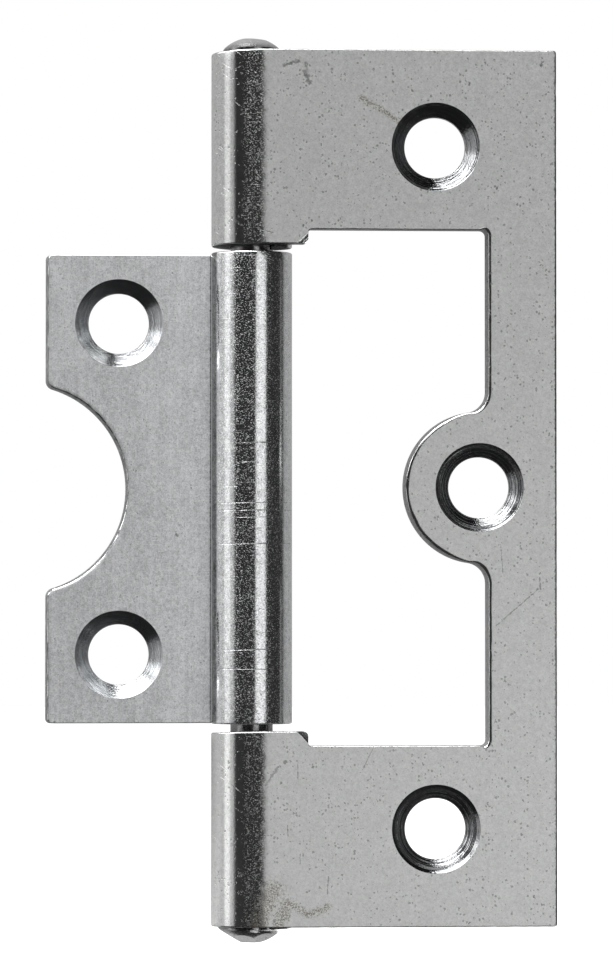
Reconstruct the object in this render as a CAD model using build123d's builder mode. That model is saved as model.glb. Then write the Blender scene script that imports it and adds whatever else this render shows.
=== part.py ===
from build123d import *
from math import asin, cos, degrees, radians, sin, tan
import os

# Flush hinge for a louvre door, laid open flat with every countersink facing -Y.
# A wide frame leaf carries the top and bottom eyes; a smaller door leaf carries the long middle eye
# and folds into the window of the frame leaf, so the closed hinge is one sheet thick.
# Millimetres, +Z up along the pin, +X towards the free edge of the frame leaf. The origin lies on the
# back face of the frame leaf, midway between its two outer screw holes.

# Sheet, pin and rolled eye
sheet = 1.6
pin_diameter = 3.7
pin_clearance = 0.08  # radial, in all three eyes
lead_radius = 9.5  # gentle bend where the flat plate lifts into the eye
lead_angle = 14
seam_gap = 0.3  # cut end of the roll to the back of its own plate
rollover = 0.25  # rounding that blanking leaves round the show side of the frame leaf
broken_edge = (0.22, 0.15)  # arris taken off the door leaf: countersunk side, other side

# Frame leaf
leaf_height = 76.0
frame_reach = 26.3  # pin axis to free edge
outer_screw_inset = 10.5  # free edge to the two outer screws
middle_screw_inset = 6.7  # free edge to the middle screw and the centre of its tab
eye_length = 16.9  # each outer eye
shoulder_width = 1.2  # plate left beside each outer eye
shoulder_step = 1.25  # shoulder down from the window's edge
rail_width = 6.1  # plate between the window and the free edge
window_corner = 0.5
tab_radius = 6.6
tab_root = 1.8
crush_reach = (0.9, 0.9, 0.7)  # knocked-down shoulder corner: along its end, through the sheet, up its side

# Door leaf
end_gap = 0.6  # each end of the middle eye
nest_gap = 2.3  # free edge to window wall when closed
notch_gap = 2.5  # notch to the side of the tab when closed
notch_offset = 0.4  # notch centre beyond the tab centre
notch_corner = 0.8
door_corner = 0.4
door_screw_inset = 6.4  # free edge to the screws
door_screw_end = 6.0  # leaf end to each screw

# Screw holes
screw_hole_diameter = 5.3
sink_diameter = 7.7
sink_angle = 90

# Pin ends. A blow is a hammer flat: its bearing from +X, its lean from the pin axis, and its depth.
head_overhang = 0.65  # formed head beyond the shank
head_height = 1.35
head_rim = 0.3
head_blows = [(180, 38, 0.3)]
peen_overhang = 0.75  # spread lower end beyond the shank
peen_height = 1.3
peen_rim = 0.2
peen_offset = 0.3  # the lower end spread towards the door leaf
peen_tilt = 5.2
peen_blows = [(0, 0, 0.1), (180, 29, 0.28), (246, 24, 0.13), (303, 30, 0.1), (62, 26, 0.15), (121, 30, 0.12)]

# Derived sizes
pin_radius = pin_diameter / 2
eye_inner = pin_radius + pin_clearance
eye_outer = eye_inner + sheet
lead_rise = lead_radius - eye_outer
lead_start = lead_rise * sin(radians(lead_angle))
plate_front = lead_radius - lead_rise * cos(radians(lead_angle))
plate_back = plate_front - sheet
seam_angle = degrees(asin((plate_back - seam_gap) / eye_outer))
roll_angle = 270 - lead_angle + seam_angle
through = 2 * eye_outer

slot_height = leaf_height - 2 * eye_length
window_height = slot_height + 2 * shoulder_step
window_reach = frame_reach - rail_width
shoulder_reach = eye_outer + shoulder_width
tab_reach = frame_reach - middle_screw_inset
outer_screw_reach = frame_reach - outer_screw_inset
outer_screw_spacing = leaf_height - eye_length
door_height = slot_height - 2 * end_gap
door_reach = window_reach - nest_gap
notch_reach = tab_reach + notch_offset
notch_radius = tab_radius + notch_gap
door_screw_reach = door_reach - door_screw_inset
door_screw_spacing = door_height - 2 * door_screw_end
head_radius = pin_radius + head_overhang
peen_radius = pin_radius + peen_overhang

# Pin axis in the row frame, and the views that the outlines are drawn in
pin_x = -outer_screw_reach
pin_y = plate_back
front_view = Plane(origin=(pin_x, pin_y, 0), x_dir=(1, 0, 0), z_dir=(0, -1, 0))
pin_axis = Axis((pin_x, pin_y, 0), (0, 0, 1))


def rolled_strip(reach, height, side):
    """Section of a leaf, seen along the pin: flat plate, lead bend and eye, drawn from the free edge
    along the show side. side is 1 for the frame leaf and -1 for the door leaf, which is the same
    section turned half round the pin."""
    foot = Plane(origin=(pin_x, pin_y, -height / 2), x_dir=(side, 0, 0), z_dir=(0, 0, 1))
    with BuildSketch(foot) as section:
        with BuildLine():
            show = Line((reach, -plate_front), (lead_start, -plate_front))
            show_lead = JernArc(show @ 1, show % 1, lead_radius, -lead_angle)
            barrel = JernArc(show_lead @ 1, show_lead % 1, eye_outer, -roll_angle)
            back = Line((reach, -plate_back), (lead_start, -plate_back))
            back_lead = JernArc(back @ 1, back % 1, lead_radius - sheet, -lead_angle)
            bore = JernArc(back_lead @ 1, back_lead % 1, eye_inner, -roll_angle)
            Line(show @ 0, back @ 0)
            Line(barrel @ 1, bore @ 1)
        make_face()
    return section.sketch


def skin_edges(part, side, depth):
    """Edges all round one skin of a rolled strip: its plate, lead and eye at that depth under the
    outside of the roll, without the upright lines where those three run into each other."""
    eye_centre = Vector(pin_x, pin_y, 0)
    lead_centre = eye_centre + Vector(side * lead_start, side * (lead_radius - plate_front), 0)
    touch = 0.01

    def on_skin(edge):
        point = edge @ 0.5
        across = Vector(point.X, point.Y, 0)
        return (
            abs((across.Y - pin_y) * side + plate_front - depth) < touch
            or abs((across - eye_centre).length - eye_outer + depth) < touch
            or abs((across - lead_centre).length - lead_radius + depth) < touch
        )

    skin = part.edges().filter_by(on_skin)
    upright = skin.filter_by(Axis.Z)
    struck = upright.filter_by(lambda edge: ((edge @ 0.5).X - pin_x) * side > lead_start + touch)
    return skin.filter_by(Axis.Z, reverse=True) + struck


# Frame leaf: strip rolled over its full height, then the window and the slot cut through it
with BuildPart() as frame_leaf:
    extrude(rolled_strip(frame_reach, leaf_height, 1), amount=leaf_height)

    # Slot for the middle eye, window for the door leaf, and the half-round tab for the middle screw
    with BuildSketch(front_view) as window:
        with Locations((-through, 0)):
            Rectangle(through + shoulder_reach, slot_height, align=(Align.MIN, Align.CENTER))
        with Locations((shoulder_reach, 0)):
            Rectangle(window_reach - shoulder_reach, window_height, align=(Align.MIN, Align.CENTER))
        with Locations((tab_reach, 0)):
            Circle(tab_radius, mode=Mode.SUBTRACT)
        wall = window.vertices().group_by(Axis.X)[-1].sort_by(Axis.Y)
        fillet(wall[1:-1], radius=tab_root)
        wall = window.vertices().group_by(Axis.X)[-1].sort_by(Axis.Y)
        fillet([wall[0], wall[-1]], radius=window_corner)
    extrude(amount=through, both=True, mode=Mode.SUBTRACT)
    fillet(skin_edges(frame_leaf, 1, 0), radius=rollover)

    # Corner of each shoulder knocked down where the slot was cropped: a flat through three points,
    # one on each edge that meets in the corner
    for end in (1, -1):
        corner = Vector(pin_x + shoulder_reach, pin_y - plate_front, end * slot_height / 2)
        along, deep, up = crush_reach
        facing = Vector(1 / along, -1 / deep, -end / up)
        with BuildSketch(Plane(origin=corner - facing / facing.length**2, z_dir=facing)):
            Circle(max(crush_reach))
        extrude(amount=max(crush_reach), mode=Mode.SUBTRACT)

    with Locations(front_view.offset(plate_front)):
        with Locations(
            (outer_screw_reach, outer_screw_spacing / 2),
            (outer_screw_reach, -outer_screw_spacing / 2),
            (tab_reach, 0),
        ):
            CounterSinkHole(screw_hole_diameter / 2, sink_diameter / 2, counter_sink_angle=sink_angle)

# Door leaf: the same section turned half round, with a notch that clears the tab when it is closed
with BuildPart() as door_leaf:
    extrude(rolled_strip(door_reach, door_height, -1), amount=door_height)

    with BuildSketch(front_view) as notch:
        with Locations((-notch_reach, 0)):
            Circle(notch_radius)
    extrude(amount=through, both=True, mode=Mode.SUBTRACT)
    corners = door_leaf.edges().filter_by(Axis.Y).group_by(Axis.X)[0].sort_by(Axis.Z)
    fillet(corners[1:-1], radius=notch_corner)
    corners = door_leaf.edges().filter_by(Axis.Y).group_by(Axis.X)[0].sort_by(Axis.Z)
    fillet([corners[0], corners[-1]], radius=door_corner)
    chamfer(skin_edges(door_leaf, -1, sheet), length=broken_edge[0])
    chamfer(skin_edges(door_leaf, -1, 0), length=broken_edge[1])

    with Locations(front_view.offset(-plate_back)):
        with Locations((-door_screw_reach, 0)):
            with GridLocations(0, door_screw_spacing, 1, 2):
                CounterSinkHole(screw_hole_diameter / 2, sink_diameter / 2, counter_sink_angle=sink_angle)


def hammer_flat(crown, way, radius, blow):
    """Plane of one flat on a dome whose top is at crown, facing way, with that radius of curvature."""
    bearing, lean, depth = (radians(blow[0]), radians(blow[1]), blow[2])
    facing = Vector(cos(bearing) * sin(lean), sin(bearing) * sin(lean), cos(lean) * (1 if way.Z > 0 else -1))
    return Plane(origin=crown - way * radius + facing * (radius - depth), z_dir=facing)


def dome_radius(base, rise):
    """Radius of a dome that rises so much over a round base."""
    return (base**2 + rise**2) / (2 * rise)


# Pin: shank with a formed dome on top, and a lower end spread by hand hammering so that it sits askew
with BuildPart() as hinge_pin:
    top = leaf_height / 2
    peen_drop = 2 * peen_radius * tan(radians(peen_tilt))
    with BuildSketch(front_view) as shank:
        with BuildLine():
            Polyline(
                (0, top + head_height),
                (0, -top - peen_drop),
                (pin_radius, -top - peen_drop),
                (pin_radius, top),
                (head_radius, top),
                (head_radius, top + head_rim),
            )
            TangentArc((0, top + head_height), (head_radius, top + head_rim), tangent=(1, 0))
        make_face()
    revolve(axis=pin_axis)
    for blow in head_blows:
        crown = Vector(pin_x, pin_y, top + head_height)
        curve = dome_radius(head_radius, head_height - head_rim)
        split(bisect_by=hammer_flat(crown, Vector(0, 0, 1), curve, blow), keep=Keep.BOTTOM)

    lean = radians(peen_tilt)
    drop = Vector(-sin(lean), 0, -cos(lean))
    seat = Vector(pin_x - peen_offset, pin_y, -top - peen_drop / 2)
    with BuildSketch(Plane(origin=seat, x_dir=(cos(lean), 0, -sin(lean)), z_dir=(0, 1, 0))) as peen:
        with BuildLine():
            Polyline((0, peen_height), (0, 0), (peen_radius, 0), (peen_radius, peen_rim))
            TangentArc((0, peen_height), (peen_radius, peen_rim), tangent=(1, 0))
        make_face()
    revolve(axis=Axis(seat, drop))
    for blow in peen_blows:
        curve = dome_radius(peen_radius, peen_height - peen_rim)
        split(bisect_by=hammer_flat(seat + drop * peen_height, drop, curve, blow), keep=Keep.BOTTOM)

frame_leaf.part.label = "frame_leaf"
door_leaf.part.label = "door_leaf"
hinge_pin.part.label = "hinge_pin"

os.makedirs("parts", exist_ok=True)
export_step(frame_leaf.part, "parts/frame_leaf.step")
export_step(door_leaf.part, "parts/door_leaf.step")
export_step(hinge_pin.part, "parts/hinge_pin.step")
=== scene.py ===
import math

import bmesh
import bpy
from mathutils import Matrix, Vector, noise


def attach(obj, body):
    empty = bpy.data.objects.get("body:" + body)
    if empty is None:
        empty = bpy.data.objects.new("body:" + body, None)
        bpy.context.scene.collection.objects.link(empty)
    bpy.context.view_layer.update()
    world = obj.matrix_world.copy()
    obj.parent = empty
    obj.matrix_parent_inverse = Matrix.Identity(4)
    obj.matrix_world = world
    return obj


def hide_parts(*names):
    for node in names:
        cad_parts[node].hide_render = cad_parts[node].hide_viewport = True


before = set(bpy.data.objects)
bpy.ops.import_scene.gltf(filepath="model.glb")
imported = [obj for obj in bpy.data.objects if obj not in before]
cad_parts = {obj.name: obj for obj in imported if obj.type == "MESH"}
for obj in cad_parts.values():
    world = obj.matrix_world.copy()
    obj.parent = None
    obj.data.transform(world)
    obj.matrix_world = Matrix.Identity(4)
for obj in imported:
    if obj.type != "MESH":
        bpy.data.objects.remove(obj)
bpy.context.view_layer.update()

# Frame leaf: the large leaf, blanked from 1.6 mm bright zinc plated steel strip with its window and
# its half-round tab in one stroke, so every edge of the show side is rolled over. The top and bottom
# eyes are then rolled from its long edge, and three screw holes are countersunk from the show side.
mm = 0.001

# Both leaves are rolled alike: a gentle lead bend, then the eye round the pin, which stops at a seam.
sheet = 1.6 * mm
eye_outer = 3.53 * mm
seam_gap = 0.3 * mm
lead_radius = 9.5 * mm
lead_angle = math.radians(14)
lead_start = (lead_radius - eye_outer) * math.sin(lead_angle)
lead_length = lead_radius * lead_angle
lead_end = lead_start - lead_length
plate_front = lead_radius - (lead_radius - eye_outer) * math.cos(lead_angle)
seam_angle = math.asin((plate_front - sheet - seam_gap) / eye_outer)
roll_angle = math.radians(270) - lead_angle + seam_angle
roll_end = lead_end - eye_outer * roll_angle
pin_centre = Vector((-15.8 * mm, plate_front - sheet, 0))

# The outline: a reach is measured across from the pin's axis, and a half up from the leaf's middle.
leaf_half = 38.0 * mm
leaf_reach = 26.3 * mm
leaf_corner = 0.25 * mm
slot_half = 21.1 * mm
window_half = 22.35 * mm
window_reach = 20.2 * mm
window_corner = 0.5 * mm
shoulder_reach = 4.73 * mm
shoulder_corner = 0.25 * mm
shoulder_round = 0.45 * mm
tab_reach = 19.6 * mm
tab_radius = 6.6 * mm
tab_root = 1.8 * mm
rollover = (0.34 * mm, 0.12 * mm)
wall_taper = 0.17 * mm
roll_run_out = 0.32 * mm
sink_angle = math.radians(97)
sink_mouth = 3.85 * mm
screw_hole = 2.65 * mm
screw_reach = 15.8 * mm
screw_half = 29.55 * mm


def draw_to(bm, tip, across, up):
    """Scribes a straight edge on the blank and returns its end."""
    tip = bmesh.ops.extrude_vert_indiv(bm, verts=[tip])["verts"][0]
    tip.co = (across, 0, up)
    return tip


def draw_arc(bm, tip, across, up, degrees, steps):
    """Scribes an arc round a centre on the blank and returns its end."""
    turn = math.radians(degrees)
    swung = bmesh.ops.spin(bm, geom=[tip], cent=(across, 0, up), axis=(0, -1, 0), angle=turn, steps=steps)
    return swung["geom_last"][0]


def run_into(reach, radius, next_reach, next_radius):
    """How an arc centred on the blank's middle line runs into the next one, which bends the other way:
    the height of the next one's centre, and the degrees that the first one turns."""
    between, ahead = radius + next_radius, reach - next_reach
    return math.sqrt(between**2 - ahead**2), math.degrees(math.acos(ahead / between))


def press_blank(bm, show_edge, back_edge):
    """Mirrors the scribed half outline, fills it, and gives it the sheet's thickness with its edges
    rounded on both skins, each by a width and a depth. The show skin lies at y = 0."""
    touching, longest = 0.001 * mm, 0.35 * mm
    half = bm.verts[:] + bm.edges[:]
    bmesh.ops.mirror(bm, geom=half, axis="Z", merge_dist=touching)
    bmesh.ops.remove_doubles(bm, verts=bm.verts, dist=touching)
    for edge in bm.edges[:]:
        cuts = int(edge.calc_length() / longest)
        if cuts and min(vert.co.x for vert in edge.verts) > lead_start - 0.01 * mm:
            bmesh.ops.subdivide_edges(bm, edges=[edge], cuts=cuts)
    show = bmesh.ops.contextual_create(bm, geom=bm.edges[:])["faces"][0]
    show.normal_update()
    if show.normal.y > 0:
        show.normal_flip()
    made = bmesh.ops.extrude_face_region(bm, geom=[show], use_keep_orig=True)["geom"]
    back = [part for part in made if isinstance(part, bmesh.types.BMFace)][0]
    bmesh.ops.translate(bm, verts=show.verts, vec=(0, show_edge[1], 0))
    bmesh.ops.translate(bm, verts=back.verts, vec=(0, sheet - back_edge[1], 0))
    bmesh.ops.recalc_face_normals(bm, faces=bm.faces)
    for skin, (width, depth), steps in ((show, show_edge, 6), (back, back_edge, 4)):
        for step in range(steps):
            near, far = (math.radians(90 * (step + k) / steps) for k in (0, 1))
            bmesh.ops.inset_region(
                bm,
                faces=[skin],
                use_boundary=True,
                use_even_offset=True,
                thickness=width * (math.cos(near) - math.cos(far)),
                depth=depth * (math.sin(far) - math.sin(near)),
            )


def ease_in(value):
    """Goes softly from 0 to 1."""
    value = min(1, max(0, value))
    return value * value * (3 - 2 * value)


def break_edges(bm, skin, edge, way, narrowest, nick):
    """The punch drags the skin at that height over widely only at the edges that face one way along the
    leaf, 1 or -1, and leaves their wall tapered. Elsewhere tumbling has just broken the arris."""
    coarse, fine = 0.45 * mm, 0.17 * mm
    inward = 1 if skin == 0 else -1
    bm.normal_update()
    ring = [vert for vert in bm.verts if abs(abs(vert.co.y - skin) - edge[1]) < 0.001 * mm]
    feet = {vert: (vert.co.copy(), Vector((vert.normal.x, 0, vert.normal.z)).normalized()) for vert in ring}
    while ring:
        inner = []
        for vert in ring:
            for near in (side.other_vert(vert) for side in vert.link_edges):
                if near not in feet and abs(near.co.y - skin) < abs(vert.co.y - skin):
                    feet[near] = feet[vert]
                    inner.append(near)
        ring = inner
    for vert, (foot, outward) in feet.items():
        sunk = abs(vert.co.y - skin)
        share = ease_in((way * outward.x + 0.1) / 0.7)
        width, depth = ((least + (full - least) * share) / full for least, full in zip(narrowest, edge))
        bite = noise.noise(vert.co / coarse) + 0.6 * noise.noise(vert.co / fine)
        deep = nick * min(1, sunk / (0.25 * edge[1])) * min(1, max(0, bite)) * (0.45 + 0.55 * share)
        level = foot + (vert.co - foot) * width - outward * (deep + wall_taper * share)
        vert.co = (level.x, skin + inward * (sunk * depth + deep * 0.6), level.z)


def crease(bm, strip, spot, way):
    """Cuts one straight crease through some faces of the blank, square to that way."""
    edges = list(dict.fromkeys(edge for face in strip for edge in face.edges))
    verts = list(dict.fromkeys(vert for face in strip for vert in face.verts))
    bmesh.ops.bisect_plane(bm, geom=strip + edges + verts, plane_co=spot, plane_no=way)


def crease_for_rolling(bm, height):
    """Cuts the strip that will become the eye into a fine grid, and leaves the flat plate whole."""
    lead_steps, eye_steps, row_height = 6, 80, 1.0 * mm
    lines = [lead_start + (lead_end - lead_start) * step / lead_steps for step in range(lead_steps)]
    lines += [lead_end + (roll_end - lead_end) * step / eye_steps for step in range(eye_steps)]
    for line in lines:
        strip = [face for face in bm.faces if min(vert.co.x for vert in face.verts) < line]
        crease(bm, strip, (line, 0, 0), (1, 0, 0))
    rows = round(2 * height / row_height)
    for row in range(1, rows):
        strip = [face for face in bm.faces if max(vert.co.x for vert in face.verts) < lead_start + 0.01 * mm]
        crease(bm, strip, (0, 0, height * (2 * row / rows - 1)), (0, 0, 1))


def roll_eye(bm, run_out=0.0):
    """Rolls the creased strip round the pin and sets the leaf against the pin's axis. The strip creeps
    down by the run-out on its way round."""
    for vert in bm.verts:
        across, deep, up = vert.co
        past = lead_start - across
        if past <= 0:
            vert.co = (across, deep - plate_front, up)
            continue
        if past < lead_length:
            turn, radius = past / lead_radius, lead_radius - deep
            centre = (lead_start, lead_radius - plate_front)
        else:
            turn, radius = lead_angle + (past - lead_length) / eye_outer, eye_outer - deep
            centre = (0, 0)
        level = up - run_out * turn / roll_angle
        vert.co = (centre[0] - radius * math.sin(turn), centre[1] - radius * math.cos(turn), level)


def leave_uneven(bm):
    """Sinks the rolled eye's skins by a soft uneven amount, as rolling and tumbling leave them."""
    depth, patch = 0.012 * mm, 5 * mm
    bm.normal_update()
    for vert in bm.verts:
        rolled = min(1, max(0, (lead_start - vert.co.x) / lead_start))
        vert.co -= vert.normal * (rolled * depth * (0.5 + 0.5 * noise.noise(vert.co / patch)))


arris_angle = math.radians(32)


def piece(name, bm):
    """Makes a named object of a finished mesh, smooth apart from its sharp edges."""
    mesh = bpy.data.meshes.new(name)
    bm.to_mesh(mesh)
    bm.free()
    mesh.shade_smooth()
    mesh.set_sharp_from_angle(angle=arris_angle)
    obj = bpy.data.objects.new(name, mesh)
    bpy.context.scene.collection.objects.link(obj)
    return obj


def cut_away(obj, tool, operation="DIFFERENCE"):
    """Cuts an object by a tool, or joins it on, and leaves the finished mesh."""
    bmesh.ops.recalc_face_normals(tool, faces=tool.faces)
    cutter = piece(obj.name + "_tool", tool)
    cut = obj.modifiers.new("cut", "BOOLEAN")
    cut.operation, cut.solver, cut.object = operation, "EXACT", cutter
    finished = bpy.data.meshes.new_from_object(obj.evaluated_get(bpy.context.evaluated_depsgraph_get()))
    obj.modifiers.clear()
    finished.name, obj.data = obj.data.name, finished
    finished.set_sharp_from_angle(angle=arris_angle)
    bpy.data.objects.remove(cutter)


def spin_profile(bm, points, axis, steps):
    """Turns a line of points once round an axis through the origin, closes the seam and the poles, and
    returns the vertices that are not tagged as made before."""
    line = [bm.verts.new(points[0])]
    for point in points[1:]:
        line += bmesh.ops.extrude_vert_indiv(bm, verts=[line[-1]])["verts"]
        line[-1].co = point
    drawn = [edge for edge in bm.edges if all(vert in line for vert in edge.verts)] + line
    turn = {"cent": (0, 0, 0), "axis": axis, "angle": math.tau, "steps": steps}
    bmesh.ops.spin(bm, geom=drawn, use_merge=True, **turn)
    made = [vert for vert in bm.verts if not vert.tag]
    bmesh.ops.remove_doubles(bm, verts=made, dist=0.0005 * mm)
    return [vert for vert in bm.verts if not vert.tag]


def countersink_tool(bm, across, up, skin, ridge_height):
    """Adds one countersinking cutter at a screw hole, its mouth on the plane y = skin. Its flank
    carries the fine rings that turning leaves."""
    rings, proud = 26, 0.4 * mm
    slope = math.tan(sink_angle / 2)
    points = [(0, -proud, 0), (sink_mouth + proud * slope, -proud, 0)]
    for ring in range(rings + 1):
        inward = (sink_mouth - screw_hole) * ring / rings
        swell = 1 + noise.noise((across / mm, up / mm, ring * 1.7))
        ridge = ridge_height * swell * (1 if ring % 2 else -1)
        if ring in (0, rings):
            ridge = 0
        points.append((sink_mouth - inward + ridge, inward / slope + ridge, 0))
    points += [(screw_hole, sheet + proud, 0), (0, sheet + proud, 0)]
    made = spin_profile(bm, points, (0, 1, 0), 96)
    for face in {face for vert in made for face in vert.link_faces}:
        face.material_index = 1
    bmesh.ops.translate(bm, verts=made, vec=(across, skin, up))
    for vert in made:
        vert.tag = True


frame_bm = bmesh.new()
root_up, root_turn = run_into(tab_reach, tab_radius, window_reach - tab_root, tab_root)
tip = frame_bm.verts.new((tab_reach - tab_radius, 0, 0))
tip = draw_arc(frame_bm, tip, tab_reach, 0, -root_turn, 30)
tip = draw_arc(frame_bm, tip, window_reach - tab_root, root_up, root_turn, 14)
tip = draw_to(frame_bm, tip, window_reach, window_half - window_corner)
tip = draw_arc(frame_bm, tip, window_reach - window_corner, window_half - window_corner, 90, 6)
tip = draw_to(frame_bm, tip, shoulder_reach + shoulder_corner, window_half)
tip = draw_arc(frame_bm, tip, shoulder_reach + shoulder_corner, window_half - shoulder_corner, 90, 5)
tip = draw_to(frame_bm, tip, shoulder_reach, slot_half + shoulder_round)
tip = draw_arc(frame_bm, tip, shoulder_reach - shoulder_round, slot_half + shoulder_round, -90, 6)
tip = draw_to(frame_bm, tip, lead_start, slot_half)
tip = draw_to(frame_bm, tip, roll_end, slot_half)
tip = draw_to(frame_bm, tip, roll_end, leaf_half)
tip = draw_to(frame_bm, tip, lead_start, leaf_half)
tip = draw_to(frame_bm, tip, leaf_reach - leaf_corner, leaf_half)
tip = draw_arc(frame_bm, tip, leaf_reach - leaf_corner, leaf_half - leaf_corner, -90, 4)
draw_to(frame_bm, tip, leaf_reach, 0)
press_blank(frame_bm, show_edge=rollover, back_edge=(0.04 * mm, 0.03 * mm))
break_edges(frame_bm, skin=0, edge=rollover, way=-1, narrowest=(0.09 * mm, 0.08 * mm), nick=0.05 * mm)
crease_for_rolling(frame_bm, leaf_half)
roll_eye(frame_bm, roll_run_out)
leave_uneven(frame_bm)
bmesh.ops.translate(frame_bm, verts=frame_bm.verts, vec=pin_centre)
frame_leaf = piece("frame_leaf_pressing", frame_bm)

# A block strikes the shoulder beside each outer eye back in three flats. Each flat has a lean in degrees
# and a reach from the corner. The reach, half the block and its shift outwards are in millimetres.
knocks = [(24, 1.05), (46, 0.85), (68, 0.55)]
block_half, block_shift = 0.8, 0.6
for end in (1, -1):
    corner = Vector((pin_centre.x + shoulder_reach, pin_centre.y - plate_front, end * slot_half))
    along = Vector((1, 0, end)).normalized()
    for lean, reach in knocks:
        lean = math.radians(lean)
        facing = Vector((math.sin(lean), -math.sqrt(2) * math.cos(lean), -end * math.sin(lean)))
        facing /= math.sqrt(2)
        outward = facing.cross(along) * end
        struck = corner + Vector((-reach, 0, end * reach)) / 2 * mm
        middle = struck + (facing * block_half + outward * block_shift) * mm
        block = Matrix((along, outward, facing)).transposed().to_4x4()
        knock = bmesh.new()
        bmesh.ops.create_cube(knock, size=2 * block_half * mm, matrix=Matrix.Translation(middle) @ block)
        cut_away(frame_leaf, knock)

screw_spots = [(screw_reach, screw_half), (screw_reach, -screw_half), (tab_reach, 0)]
frame_screws = [(pin_centre.x + across, up) for across, up in screw_spots]
sinks = bmesh.new()
for across, up in frame_screws:
    countersink_tool(sinks, across, up, skin=pin_centre.y - plate_front, ridge_height=0.006 * mm)
cut_away(frame_leaf, sinks)


def fill(tree, node, inputs):
    """Links or sets the inputs named of a shader node."""
    for name, value in inputs.items():
        if isinstance(value, bpy.types.NodeSocket):
            tree.links.new(value, node.inputs[name])
        else:
            node.inputs[name].default_value = value


def wire(tree, kind, inputs=None, **settings):
    """Adds a shader node with its settings, fills its inputs, and returns its outputs."""
    node = tree.nodes.new("ShaderNode" + kind)
    for name, value in settings.items():
        setattr(node, name, value)
    fill(tree, node, inputs or {})
    return node.outputs


def calc(tree, operation, *values):
    """One sum on shader values."""
    return wire(tree, "Math", dict(enumerate(values)), operation=operation)[0]


def vector(tree, operation, *values):
    """One sum on shader vectors. Lengths, distances and dot products come out as a value."""
    out = wire(tree, "VectorMath", dict(enumerate(values)), operation=operation)
    return out["Value" if operation in ("LENGTH", "DISTANCE", "DOT_PRODUCT") else "Vector"]


def scaled(tree, way, amount):
    """A shader vector or colour times a value."""
    return wire(tree, "VectorMath", {0: way, "Scale": amount}, operation="SCALE")["Vector"]


def overlap(tree, mask, *masks):
    """Where all of these masks meet."""
    for other in masks:
        mask = calc(tree, "MULTIPLY", mask, other)
    return mask


def layered(tree, start, *layers):
    """Adds masks to a starting value, each by its weight."""
    for mask, weight in layers:
        start = calc(tree, "MULTIPLY_ADD", mask, weight, start)
    return start


def stirred(tree, start, *layers):
    """Adds noise to a starting value, each by its weight and counted from its middle."""
    for clouds, weight in layers:
        start = layered(tree, start, (calc(tree, "SUBTRACT", clouds, 0.5), weight))
    return start


def ease(tree, value, start, end, low=0.0, high=1.0):
    """Goes softly from one value to another while its input goes from start to end."""
    limits = {"Value": value, "From Min": start, "From Max": end, "To Min": low, "To Max": high}
    return wire(tree, "MapRange", limits, interpolation_type="SMOOTHSTEP")["Result"]


def cloudy(tree, place, scale, detail):
    """Soft noise from 0 to 1, with that many patches to the metre."""
    patches = {"Vector": place, "Scale": scale, "Detail": detail, "Roughness": 0.6}
    return wire(tree, "TexNoise", patches)["Fac"]


def pitted(tree, place, bunches, scale, largest, share):
    """Ragged pits, one at most in each cell: that share of the cells has one, and the noise bunches them."""
    warp = wire(tree, "TexNoise", {"Vector": place, "Scale": 2.4 * scale, "Detail": 1})["Color"]
    place = vector(tree, "MULTIPLY_ADD", warp, (0.8 / scale,) * 3, place)
    cells = wire(tree, "TexVoronoi", {"Vector": place, "Scale": scale})
    lot = wire(tree, "SeparateColor", {0: cells["Color"]})["Red"]
    size = overlap(tree, ease(tree, lot, 1 - share, 1, 0, largest), bunches)
    return ease(tree, calc(tree, "SUBTRACT", cells["Distance"], size), 0.02, -0.06)


def shading_group(name, takes, gives):
    """Starts a shader node group from its inputs' usual values and its outputs' names. Returns its tree,
    its inputs, and the node that takes its outputs."""
    tree = bpy.data.node_groups.new(name, "ShaderNodeTree")
    for label, usual in takes.items():
        kind = "NodeSocketVector" if isinstance(usual, tuple) else "NodeSocketFloat"
        tree.interface.new_socket(label, in_out="INPUT", socket_type=kind).default_value = usual
    for label in gives:
        tree.interface.new_socket(label, in_out="OUTPUT", socket_type="NodeSocketFloat")
    return tree, tree.nodes.new("NodeGroupInput").outputs, tree.nodes.new("NodeGroupOutput")


# Barrel tumbling leaves plated steel mottled, with pits in loose bunches. Heights are in millimetres.
usual = {"Pitting": 1.0, "Scuffing": 0.5, "Mottling": 1.0}
tumbled, takes, gives = shading_group("tumbled_skin", usual, ("Tone", "Pits", "Scuffs", "Height"))
place = wire(tumbled, "TexCoord")["Object"]
clouds = cloudy(tumbled, place, 600, 3)
mottle = cloudy(tumbled, place, 2600, 4)
speckle = cloudy(tumbled, place, 8500, 2)
bunches = overlap(tumbled, ease(tumbled, clouds, 0.4, 0.62, 0.45, 1), takes["Pitting"])
large_pits = pitted(tumbled, place, bunches, scale=1250, largest=0.21, share=0.4)
small_pits = pitted(tumbled, place, bunches, scale=3600, largest=0.46, share=0.7)
pits = calc(tumbled, "MAXIMUM", large_pits, overlap(tumbled, small_pits, 0.75))
blotches = stirred(tumbled, 0, (clouds, 0.2), (mottle, 0.42), (speckle, 0.55))
tone = layered(tumbled, 1, (blotches, takes["Mottling"]))
flattened = vector(tumbled, "MULTIPLY", place, (7500, 7500, 13000))
scuffs = overlap(tumbled, ease(tumbled, cloudy(tumbled, flattened, 1, 2), 0.56, 0.66), takes["Scuffing"])
height = stirred(tumbled, 0, (mottle, 0.006), (speckle, 0.004), (scuffs, 0.008))
height = layered(tumbled, height, (pits, -0.006))
fill(tumbled, gives, {"Tone": tone, "Pits": pits, "Scuffs": scuffs, "Height": height})

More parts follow.
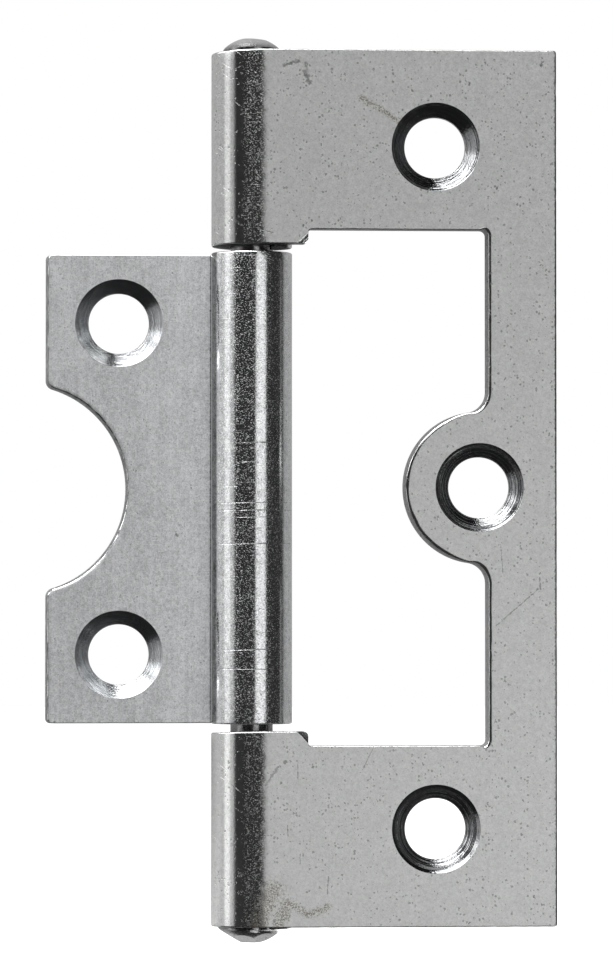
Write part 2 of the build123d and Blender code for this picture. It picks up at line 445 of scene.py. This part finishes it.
# Long fine lines: scratches when few, drawn grain when many. Grain gives patches to the metre each way.
usual = {"Turn": 0.0, "Grain": (9000.0, 400.0, 400.0), "Bare": 0.62}
lines, takes, gives = shading_group("fine_lines", usual, ("Lines",))
place = wire(lines, "TexCoord")["Object"]
turned_place = {"Vector": place, "Angle": takes["Turn"]}
place = wire(lines, "VectorRotate", turned_place, rotation_type="Y_AXIS")["Vector"]
strands = cloudy(lines, vector(lines, "MULTIPLY", place, takes["Grain"]), 1, 2)
shown = ease(lines, strands, takes["Bare"], calc(lines, "ADD", takes["Bare"], 0.07))
fill(lines, gives, {"Lines": shown})

# One knock or scratch: a stroke between two points in the leaf's plane, ragged at its edge.
usual = {"From": (0.0, 0.0, 0.0), "To": (0.0, 0.0, 0.0), "Width": 0.1 * mm}
stroke, takes, gives = shading_group("stroke", usual, ("Mask",))
place = vector(stroke, "MULTIPLY", wire(stroke, "TexCoord")["Object"], (1, 0, 1))
ragged = wire(stroke, "TexNoise", {"Vector": place, "Scale": 3800, "Detail": 4})["Fac"]
along = vector(stroke, "SUBTRACT", takes["To"], takes["From"])
reached = vector(stroke, "SUBTRACT", place, takes["From"])
passed = vector(stroke, "DOT_PRODUCT", reached, along)
whole = vector(stroke, "DOT_PRODUCT", along, along)
share = wire(stroke, "Clamp", {"Value": calc(stroke, "DIVIDE", passed, whole)})["Result"]
apart = vector(stroke, "DISTANCE", reached, scaled(stroke, along, share))
frayed = layered(stroke, apart, (stirred(stroke, 0, (ragged, 2.2)), takes["Width"]))
faded = calc(stroke, "DIVIDE", frayed, takes["Width"])
fill(stroke, gives, {"Mask": ease(stroke, faded, 0.75, 0.1)})


def marks(tree, strokes):
    """The knocks and scratches of one leaf: each is two ends as x and z, and a width, in millimetres."""
    mask = 0.0
    for start, end, width in strokes:
        start, end = ((across * mm, 0, up * mm) for across, up in (start, end))
        drawn = wire(tree, "Group", {"From": start, "To": end, "Width": width * mm}, node_tree=stroke)
        mask = calc(tree, "MAXIMUM", mask, drawn["Mask"])
    return mask


def fine_lines(tree, grain, bare, turn=0.0):
    """Fine lines over the whole piece."""
    return wire(tree, "Group", {"Turn": turn, "Grain": grain, "Bare": bare}, node_tree=lines)["Lines"]


def start_finish(name):
    """Starts a material and returns it with its node tree."""
    material = bpy.data.materials.new(name)
    material.use_nodes = True
    return material, material.node_tree


def coat(tree, colour, tone, metallic, roughness, height):
    """Fills the material's own shader: its colour comes times the tone, its height in millimetres."""
    bumped = wire(tree, "Bump", {"Height": height, "Distance": mm, "Strength": 1.0})["Normal"]
    surface = {"Base Color": scaled(tree, colour, tone), "Metallic": metallic, "Roughness": roughness}
    fill(tree, tree.nodes["Principled BSDF"], surface | {"Normal": bumped})


plate_roughness = 0.4
grit_browning = (0.62, 0.665, 0.72)


def zinc_leaf(
    name, colour, eye_roughness, plate_from, plate_fade, flat_edge, scuffing, grain, strokes, stains
):
    """Bright zinc on pressed strip: satin on the plate, brighter where the eye was rolled, dull and with
    painted shade where it was sheared. The plate's finish starts that far from the pin and fades in over the
    next width, and flat_edge says how square to the sheet its skin is where it starts and where it is full.
    Grain is 1 on strip with an upright drawn grain, which also gets painted shade in the nook beside its
    eye, and 0 on plain strip, whose plate gets painted light that makes it a little lighter towards the
    bottom."""
    material, tree = start_finish(name)
    place = wire(tree, "TexCoord")["Object"]
    spot = wire(tree, "SeparateXYZ", {0: place})
    facing = wire(tree, "SeparateXYZ", {0: wire(tree, "NewGeometry")["Normal"]})
    square, upright = (calc(tree, "ABSOLUTE", facing[way]) for way in ("Y", "Z"))
    beside_pin = calc(tree, "SUBTRACT", spot["X"], pin_centre.x)
    from_pin = calc(tree, "ABSOLUTE", beside_pin)

    past_eye = ease(tree, from_pin, 4.0 * mm, 4.3 * mm)
    fading = stirred(tree, from_pin, (cloudy(tree, place, 1500, 4), plate_fade))
    plate = ease(tree, fading, plate_from, plate_from + plate_fade)
    eye = calc(tree, "SUBTRACT", 1, plate)
    flat = overlap(tree, plate, ease(tree, square, *flat_edge))
    side_wall = overlap(tree, past_eye, ease(tree, square, 0.62, 0.45))
    # Sheared walls and end faces are dull, and their tone also carries painted shade.
    sheared_and_shaded = calc(tree, "MAXIMUM", side_wall, ease(tree, upright, 0.85, 0.97))
    # The nook is the strip of the door leaf's show side right beside its eye, which gets painted shade where
    # the eye meets the plate.
    painted_nook_shade = overlap(
        tree,
        ease(tree, beside_pin, -3.02 * mm, -3.22 * mm),
        ease(tree, beside_pin, -3.6 * mm, -3.5 * mm),
        ease(tree, facing["Y"], 0.0, -0.2),
    )

    # Wear and marks: pits, drawn grain, scratches, the hoops that rolling leaves, knocks and grit.
    wear = {"Pitting": 1 - 0.4 * grain, "Scuffing": overlap(tree, eye, scuffing), "Mottling": 1 + grain}
    skin = wire(tree, "Group", wear, node_tree=tumbled)
    drawn = overlap(tree, fine_lines(tree, grain=(9000, 400, 400), bare=0.5), plate)
    bands = fine_lines(tree, grain=(1300, 60, 60), bare=0.44)
    hair = overlap(tree, fine_lines(tree, grain=(9000, 400, 260), bare=0.66, turn=0.9), plate)
    hoops = overlap(tree, fine_lines(tree, grain=(150, 150, 8000), bare=0.69), eye)
    hair = calc(tree, "MAXIMUM", hair, hoops)
    mark = overlap(tree, marks(tree, strokes), ease(tree, square, 0.05, 0.3))
    worn = calc(tree, "MAXIMUM", skin["Pits"], overlap(tree, mark, 0.85))
    stain = overlap(tree, marks(tree, stains), ease(tree, cloudy(tree, place, 9500, 3), 0.44, 0.56))
    # Painted light: the plain leaf's plate is painted lighter towards the bottom.
    painted_light_below = calc(tree, "SUBTRACT", ease(tree, spot["Z"], leaf_half, -leaf_half), 0.5)
    painted_light_below = overlap(tree, painted_light_below, plate)

    tone = layered(
        tree,
        skin["Tone"],
        (worn, -0.62),
        (bands, -0.06 * grain),
        (painted_light_below, 0.24 * (1 - grain)),
        (sheared_and_shaded, -0.62),
        (drawn, -0.035 * grain),
        (hair, -0.08),
        (painted_nook_shade, -0.68 * grain),
    )
    roughness = layered(
        tree,
        eye_roughness,
        (flat, plate_roughness - eye_roughness),
        (sheared_and_shaded, 0.4),
        (worn, 0.2),
        (hair, 0.15),
        (skin["Scuffs"], 1.0),
        (stain, 0.35),
    )
    height = layered(tree, skin["Height"], (drawn, 0.001 * grain), (hair, -0.004), (mark, -0.01))
    browned = vector(tree, "MULTIPLY", colour, scaled(tree, grit_browning, stain))
    stained = vector(tree, "SUBTRACT", colour, browned)
    metallic = layered(tree, 1, (flat, -0.4))
    coat(tree, stained, tone, metallic, roughness, height)
    return material


def turned_zinc(name, colour, roughness, ring_depth):
    """The countersinks are turned after blanking: fine rings round each screw, smoother than the plate.
    Their land behind the flank is duller, and their colour is painted darker than the plate as painted shade
    in the sunk hollow."""
    material, tree = start_finish(name)
    place = wire(tree, "TexCoord")["Object"]
    screw = wire(tree, "Attribute", attribute_name="screw")["Vector"]
    reach = vector(tree, "MULTIPLY", vector(tree, "SUBTRACT", place, screw), (1, 0, 1))
    radius = calc(tree, "MULTIPLY", vector(tree, "LENGTH", reach), 9000)
    bearing = scaled(tree, vector(tree, "NORMALIZE", reach), 2.5)
    ring = vector(tree, "ADD", wire(tree, "CombineXYZ", {"Y": radius})["Vector"], bearing)
    rings = cloudy(tree, ring, 1, 2)
    chatter = cloudy(tree, place, 5000, 3)
    height = stirred(tree, 0, (rings, ring_depth), (chatter, 1.2 * ring_depth))
    facing = wire(tree, "SeparateXYZ", {0: wire(tree, "NewGeometry")["Normal"]})
    land = ease(tree, calc(tree, "ABSOLUTE", facing["Y"]), 0.4, 0.2)
    coat(
        tree,
        colour=colour,
        tone=stirred(tree, 1, (rings, 1.5)),
        metallic=1,
        roughness=layered(tree, roughness, (land, 0.4)),
        height=height,
    )
    return material


def finish_piece(obj, materials, screws=()):
    """Gives a piece its materials. Each of its points notes the screw nearest to it."""
    if screws:
        axes = obj.data.attributes.new("screw", "FLOAT_VECTOR", "POINT")
        for vert in obj.data.vertices:
            near = min(screws, key=lambda axis: (vert.co.x - axis[0]) ** 2 + (vert.co.z - axis[1]) ** 2)
            axes.data[vert.index].vector = (near[0], 0, near[1])
    flat = obj.modifiers.new("flat faces", "WEIGHTED_NORMAL")
    flat.keep_sharp = True
    for material in materials:
        obj.data.materials.append(material)


# Bruises at the top beside the eye, scratches by both eyes, the dulled free edge, and more scratches.
frame_strokes = [
    ((-13.2, 36.5), (-11.9, 36.95), 0.34),
    ((-11.4, 36.75), (-11.35, 36.5), 0.34),
    ((-11.3, 36.0), (-11.0, 35.1), 0.46),
    ((-15.2, 22.3), (-14.1, 22.0), 0.08),
    ((-15.0, 21.8), (-14.2, 22.4), 0.07),
    ((-14.75, -25.7), (-13.7, -24.2), 0.24),
    ((-12.0, -23.6), (-12.0, -25.2), 0.09),
    ((-12.9, -29.2), (-12.85, -30.1), 0.08),
    ((-11.8, -31.7), (-11.8, -32.5), 0.08),
    ((-9.35, -33.6), (-9.45, -35.1), 0.1),
    ((10.5, 37.9), (10.5, -37.9), 0.34),
    ((5.2, -12.0), (8.9, -8.8), 0.1),
    ((9.0, -7.8), (9.05, -8.8), 0.14),
    ((5.6, -4.9), (5.8, -7.5), 0.06),
    ((-6.4, -24.4), (-5.4, -22.4), 0.08),
]

# Brown grit round the foot of the lower eye, and a smear of it beside the top screw.
frame_stains = [
    ((-15.5, -37.8), (-14.2, -34.8), 1.7),
    ((-13.6, -37.6), (-13.0, -36.0), 1.2),
    ((-12.8, -35.9), (-11.0, -36.9), 0.6),
    ((-11.0, -36.9), (-9.4, -36.2), 0.6),
    ((-6.5, 33.8), (-2.6, 31.4), 0.5),
]
frame_zinc = zinc_leaf(
    "frame_leaf_zinc",
    colour=(0.79, 0.80, 0.79),
    eye_roughness=0.125,
    plate_from=0.45 * mm,
    plate_fade=0.9 * mm,
    flat_edge=(0.985, 0.9995),
    scuffing=0.35,
    grain=0.0,
    strokes=frame_strokes,
    stains=frame_stains,
)
# Painted shade: the frame leaf's countersinks are painted darker than its plate.
frame_shaded_sinks = turned_zinc("frame_leaf_shaded_countersinks", (0.27, 0.275, 0.28), roughness=0.04, ring_depth=0.015)
finish_piece(frame_leaf, (frame_zinc, frame_shaded_sinks), frame_screws)
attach(frame_leaf, "frame_leaf")
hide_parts("frame_leaf")

# Door leaf: the small leaf, blanked from the same strip with a half-round notch that clears the tab,
# its long middle eye rolled the other way. The rough show side of the roll ends up at the back, and
# its two screw holes are countersunk from the inside of the roll.
door_half = 20.5 * mm
door_reach = 17.9 * mm
door_corner = 0.4 * mm
notch_reach = 20.0 * mm
notch_radius = 9.1 * mm
notch_corner = 0.8 * mm
door_screw_reach = 11.5 * mm
door_screw_half = 14.5 * mm
door_rollover = (0.38 * mm, 0.11 * mm)

door_bm = bmesh.new()
corner_up, notch_turn = run_into(notch_reach, notch_radius, door_reach - notch_corner, notch_corner)
tip = door_bm.verts.new((notch_reach - notch_radius, 0, 0))
tip = draw_arc(door_bm, tip, notch_reach, 0, -notch_turn, 28)
tip = draw_arc(door_bm, tip, door_reach - notch_corner, corner_up, notch_turn, 8)
tip = draw_to(door_bm, tip, door_reach, door_half - door_corner)
tip = draw_arc(door_bm, tip, door_reach - door_corner, door_half - door_corner, 90, 5)
tip = draw_to(door_bm, tip, lead_start, door_half)
tip = draw_to(door_bm, tip, roll_end, door_half)
draw_to(door_bm, tip, roll_end, 0)
press_blank(door_bm, show_edge=(0.15 * mm, 0.15 * mm), back_edge=door_rollover)
break_edges(door_bm, skin=sheet, edge=door_rollover, way=1, narrowest=(0.08 * mm, 0.07 * mm), nick=0.03 * mm)
crease_for_rolling(door_bm, door_half)
roll_eye(door_bm)
leave_uneven(door_bm)
half_turn = Matrix.Rotation(math.pi, 3, "Z")
bmesh.ops.rotate(door_bm, verts=door_bm.verts, cent=(0, 0, 0), matrix=half_turn)
bmesh.ops.translate(door_bm, verts=door_bm.verts, vec=pin_centre)
door_leaf = piece("door_leaf_pressing", door_bm)

door_screws = [(pin_centre.x - door_screw_reach, up) for up in (door_screw_half, -door_screw_half)]
sinks = bmesh.new()
for across, up in door_screws:
    countersink_tool(sinks, across, up, skin=pin_centre.y + plate_front - sheet, ridge_height=0.003 * mm)
cut_away(door_leaf, sinks)

# A nick on the plate, and the hoops that the rolling tool scored round the eye.
door_strokes = [
    ((-22.3, -4.0), (-22.2, -4.1), 0.2),
    ((-17.3, 3.86), (-14.4, 3.9), 0.08),
    ((-16.8, 2.2), (-15.6, 2.22), 0.06),
    ((-18.6, -1.35), (-12.4, -1.3), 0.045),
    ((-18.7, -2.0), (-12.4, -1.95), 0.06),
    ((-17.2, -2.6), (-13.2, -2.55), 0.04),
    ((-18.9, -4.9), (-12.5, -4.85), 0.06),
    ((-18.4, -14.1), (-14.0, -14.0), 0.045),
    ((-18.8, -15.7), (-13.2, -15.75), 0.05),
]
door_zinc = zinc_leaf(
    "door_leaf_zinc",
    colour=(0.85, 0.86, 0.87),
    eye_roughness=0.105,
    plate_from=3.2 * mm,
    plate_fade=0.15 * mm,
    flat_edge=(0.88, 0.99),
    scuffing=0.42,
    grain=1.0,
    strokes=door_strokes,
    stains=[],
)
# Painted shade: the door leaf's countersinks are painted darker than its plate.
door_shaded_sinks = turned_zinc("door_leaf_shaded_countersinks", (0.37, 0.38, 0.39), roughness=0.18, ring_depth=0.012)
finish_piece(door_leaf, (door_zinc, door_shaded_sinks), door_screws)
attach(door_leaf, "door_leaf")
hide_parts("door_leaf")

# Hinge pin: 3.7 mm zinc plated steel wire with a formed dome on top. The lower end was spread by hand
# hammering once the two leaves were threaded on, so it sits askew and carries the flats of the blows.
pin_radius = 1.85 * mm
pin_length = 76.3 * mm
head_radius, head_rim, head_rise = 2.5 * mm, 0.3 * mm, 1.35 * mm
peen_radius, peen_rim, peen_rise = 2.6 * mm, 0.2 * mm, 1.3 * mm
peen_shift = -0.3 * mm
peen_tilt = math.radians(5.2)
peen_drop = 2 * peen_radius * math.tan(peen_tilt)


def dome_curve(radius, rim, rise):
    """The radius of the ball that a dome is a part of."""
    return (radius**2 + (rise - rim) ** 2) / (2 * (rise - rim))


def dome_profile(radius, rim, rise):
    """Points along a dome about Z, from its crown down to its rim and foot."""
    steps, curve = 10, dome_curve(radius, rim, rise)
    sweep = math.asin(radius / curve)
    leans = [sweep * step / steps for step in range(steps + 1)]
    points = [(curve * math.sin(lean), 0, rise - curve * (1 - math.cos(lean))) for lean in leans]
    return points + [(radius, 0, 0)]


def turned(points):
    """A solid of revolution about Z from points that start and end on the axis."""
    bm = bmesh.new()
    spin_profile(bm, points, (0, 0, 1), 72)
    bmesh.ops.recalc_face_normals(bm, faces=bm.faces)
    return bm


def hammer(bm, crown, way, curve, blows):
    """Strikes flats on a dome whose crown faces that way. Each blow is a bearing and a lean in degrees
    and a depth in millimetres."""
    softened = 0.05 * mm
    for bearing, lean, depth in blows:
        bearing, lean = math.radians(bearing), math.radians(lean)
        outward = math.copysign(math.cos(lean), way.z)
        facing = Vector((math.cos(bearing) * math.sin(lean), math.sin(bearing) * math.sin(lean), outward))
        spot = crown - way * curve + facing * (curve - depth * mm)
        whole = bm.verts[:] + bm.edges[:] + bm.faces[:]
        struck = bmesh.ops.bisect_plane(bm, geom=whole, plane_co=spot, plane_no=facing, clear_outer=True)
        ring = [part for part in struck["geom_cut"] if isinstance(part, bmesh.types.BMEdge)]
        bmesh.ops.contextual_create(bm, geom=ring)
        bmesh.ops.bevel(
            bm,
            geom=ring,
            offset=softened,
            segments=3,
            profile=0.5,
            affect="EDGES",
            clamp_overlap=True,
            material=-1,
        )


shank_rings = [2 * mm + 3 * mm * ring for ring in range(25)]
shank = [(pin_radius, 0, -down) for down in [0] + shank_rings + [pin_length]] + [(0, 0, -pin_length)]
pin_bm = turned(dome_profile(head_radius, head_rim, head_rise) + shank)
bmesh.ops.translate(pin_bm, verts=pin_bm.verts, vec=pin_centre + Vector((0, 0, leaf_half)))
crown = pin_centre + Vector((0, 0, leaf_half + head_rise))
head_blows = [(10, 4, 0.2), (185, 56, 0.1), (8, 30, 0.08)]
hammer(pin_bm, crown, Vector((0, 0, 1)), dome_curve(head_radius, head_rim, head_rise), head_blows)

peen_bm = turned(dome_profile(peen_radius, peen_rim, peen_rise) + [(0, 0, 0)])
upside_down = Matrix.Rotation(peen_tilt, 4, "Y") @ Matrix.Rotation(math.pi, 4, "X")
peen_seat = pin_centre + Vector((peen_shift, 0, -leaf_half - peen_drop / 2))
bmesh.ops.transform(peen_bm, matrix=Matrix.Translation(peen_seat) @ upside_down, verts=peen_bm.verts)
drop = Vector((-math.sin(peen_tilt), 0, -math.cos(peen_tilt)))
crown = peen_seat + drop * peen_rise
peen_blows = [(0, 0, 0.105), (180, 31, 0.18), (246, 24, 0.13)]
peen_blows += [(303, 30, 0.1), (62, 26, 0.15), (121, 30, 0.12)]
hammer(peen_bm, crown, drop, dome_curve(peen_radius, peen_rim, peen_rise), peen_blows)
hinge_pin = piece("hinge_pin_wire", pin_bm)
cut_away(hinge_pin, peen_bm, "UNION")

pin_zinc, tree = start_finish("pin_steel")
height_up = wire(tree, "SeparateXYZ", {0: wire(tree, "TexCoord")["Object"]})["Z"]
# Painted shade: the shank within the eyes and in the gaps between them is painted darker, and a little
# glossier.
shaded_shank = ease(tree, calc(tree, "ABSOLUTE", height_up), 38.9 * mm, leaf_half)
skin = wire(tree, "Group", {"Pitting": 0.8, "Scuffing": 0.4}, node_tree=tumbled)
coat(
    tree,
    colour=(0.86, 0.86, 0.86),
    tone=layered(tree, skin["Tone"], (skin["Pits"], -0.5), (shaded_shank, -0.72)),
    metallic=1,
    roughness=layered(tree, 0.22, (shaded_shank, -0.1)),
    height=skin["Height"],
)
finish_piece(hinge_pin, (pin_zinc,))
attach(hinge_pin, "frame_leaf")
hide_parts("hinge_pin")

# Floor: a plain white studio table that starts behind the hinge, a little below its lower end. The
# hinge hangs by its screws and stands on nothing, so the table just fills the view from above.
floor_half = 1.2
floor_behind = 0.12
floor_level = -0.06


def seen_white(tree, straight_on):
    """1 for the camera, and for mirrored and clear rays that go straight on past the hinge."""
    path = wire(tree, "LightPath")
    bounced = calc(tree, "ADD", path["Is Glossy Ray"], path["Is Transmission Ray"])
    return calc(tree, "MAXIMUM", path["Is Camera Ray"], overlap(tree, bounced, straight_on))


floor_bm = bmesh.new()
bmesh.ops.create_grid(floor_bm, x_segments=1, y_segments=1, size=floor_half)
middle = (0, floor_behind + floor_half, floor_level)
bmesh.ops.translate(floor_bm, verts=floor_bm.verts, vec=middle)
floor = piece("floor", floor_bm)
floor_white, tree = start_finish("floor_white")
tree.nodes.clear()
way = vector(tree, "NORMALIZE", wire(tree, "TexCoord")["Object"])
straight_on = ease(tree, wire(tree, "SeparateXYZ", {0: way})["Y"], 0.98, 0.999, 0.1, 1)
painted = wire(tree, "BsdfDiffuse", {"Color": (0.4, 0.4, 0.4, 1)})[0]
lit = wire(tree, "Emission", {"Strength": seen_white(tree, straight_on)})[0]
wire(tree, "OutputMaterial", {"Surface": wire(tree, "AddShader", {0: painted, 1: lit})[0]})
floor.data.materials.append(floor_white)

# Light: a dim studio with a white sweep behind the hinge and up its left side. Four soft boxes face it:
# a large one high on the left, a tall narrow one level at its left side, one in front to the right of
# the camera, and a shallow one over the camera.
world = bpy.data.worlds.new("studio")
bpy.context.scene.world = world
world.use_nodes = True
studio = world.node_tree
studio.nodes.clear()
way = wire(studio, "SeparateXYZ", {0: wire(studio, "TexCoord")["Generated"]})

# The sweep starts further back low down, brightens high up on the left, and fades towards the right.
further = calc(studio, "SUBTRACT", way["Y"], ease(studio, way["Z"], -0.2, -0.6, 0, 0.3))
behind = ease(studio, further, 0.06, 0.3)
beside = overlap(studio, ease(studio, way["X"], -0.75, -0.87), ease(studio, way["Z"], -0.5, -0.05))
sweep = ease(studio, way["X"], -0.8, 0.8, 0.49, 0.35)
lit = overlap(studio, calc(studio, "MAXIMUM", behind, beside), sweep)
lit = layered(studio, lit, (beside, ease(studio, way["Z"], 0.15, 0.45, 0, 3.6)))
dim_room = 0.03
lit = calc(studio, "ADD", lit, dim_room)
white = seen_white(studio, ease(studio, way["Y"], 0.98, 0.999))
shown = wire(studio, "Mix", {"Factor": white, "A": lit, "B": 1.0})["Result"]
wire(studio, "OutputWorld", {"Surface": wire(studio, "Background", {"Color": shown})[0]})


def soft_box(name, bearing, elevation, width, height, level, lean=0):
    """A soft box one metre away that faces the hinge: bearing from straight in front, positive to the
    right. Lean is how far its head tips over to the right."""
    lamp = bpy.data.lights.new(name, "AREA")
    lamp.shape, lamp.size, lamp.size_y = "RECTANGLE", width, height
    lamp.energy = level * math.pi * width * height
    holder = bpy.data.objects.new(name, lamp)
    bpy.context.scene.collection.objects.link(holder)
    bearing, elevation = math.radians(bearing), math.radians(elevation)
    out = math.cos(elevation)
    holder.location = (math.sin(bearing) * out, -math.cos(bearing) * out, math.sin(elevation))
    holder.rotation_euler = holder.location.to_track_quat("Z", "Y").to_euler()
    holder.rotation_euler.rotate_axis("Z", math.radians(-lean))
    holder.visible_camera = False


soft_box("box_over_left", bearing=-50, elevation=62, width=0.9, height=0.9, level=6.5)
soft_box("box_left", bearing=-77, elevation=0, width=0.32, height=0.8, level=0.42)
soft_box("box_front_right", bearing=20.3, elevation=-8, width=0.51, height=0.74, level=0.95, lean=14)
soft_box("box_over_front", bearing=-4, elevation=38, width=0.9, height=0.4, level=1.0)

# Camera: a long lens 0.42 m in front of the hinge. It stands a little to the left and below the middle,
# from where the photograph shows the walls of the window, the tab and the notch.
photo_height = 980
focal_length_in_pixels = 4797
sensor = 36
lens = bpy.data.cameras.new("camera")
lens.lens = focal_length_in_pixels / photo_height * sensor
lens.clip_start, lens.clip_end = 0.01, 10
camera = bpy.data.objects.new("camera", lens)
bpy.context.scene.collection.objects.link(camera)
camera.location = (-0.038, -0.4151, -0.01226)
camera.rotation_euler = (math.radians(90 + 1.66), 0, math.radians(-3.702))
bpy.context.scene.camera = camera
bpy.context.scene.view_settings.view_transform = "Standard"
